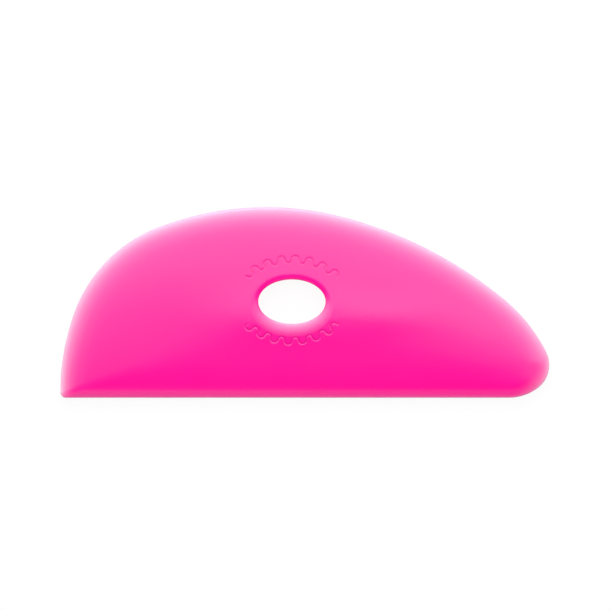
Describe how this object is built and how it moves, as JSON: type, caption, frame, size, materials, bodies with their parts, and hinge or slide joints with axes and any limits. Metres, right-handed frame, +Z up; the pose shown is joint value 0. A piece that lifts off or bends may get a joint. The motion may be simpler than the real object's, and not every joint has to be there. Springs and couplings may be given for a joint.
{
  "type": "pottery rib",
  "caption": "Half-moon soft pottery rib: a straight working edge, a long curved back with a rounded nose, and an oval finger hole through the thickest part.",
  "frame": {"origin": "centre of the bounding box's base, level with the flat crest of the back face that the rib rests on", "axes": "+X along the blade from the square heel to the rounded nose, +Y across the blade from the straight edge to the curved back, +Z up through the thickness to the front face that the picture shows"},
  "size_m": [0.15, 0.0584, 0.0064],
  "materials": {
    "rib_body": "satin"
  },
  "bodies": {
    "root": {"rib_body": "rib_body"}
  },
  "joints": []
}
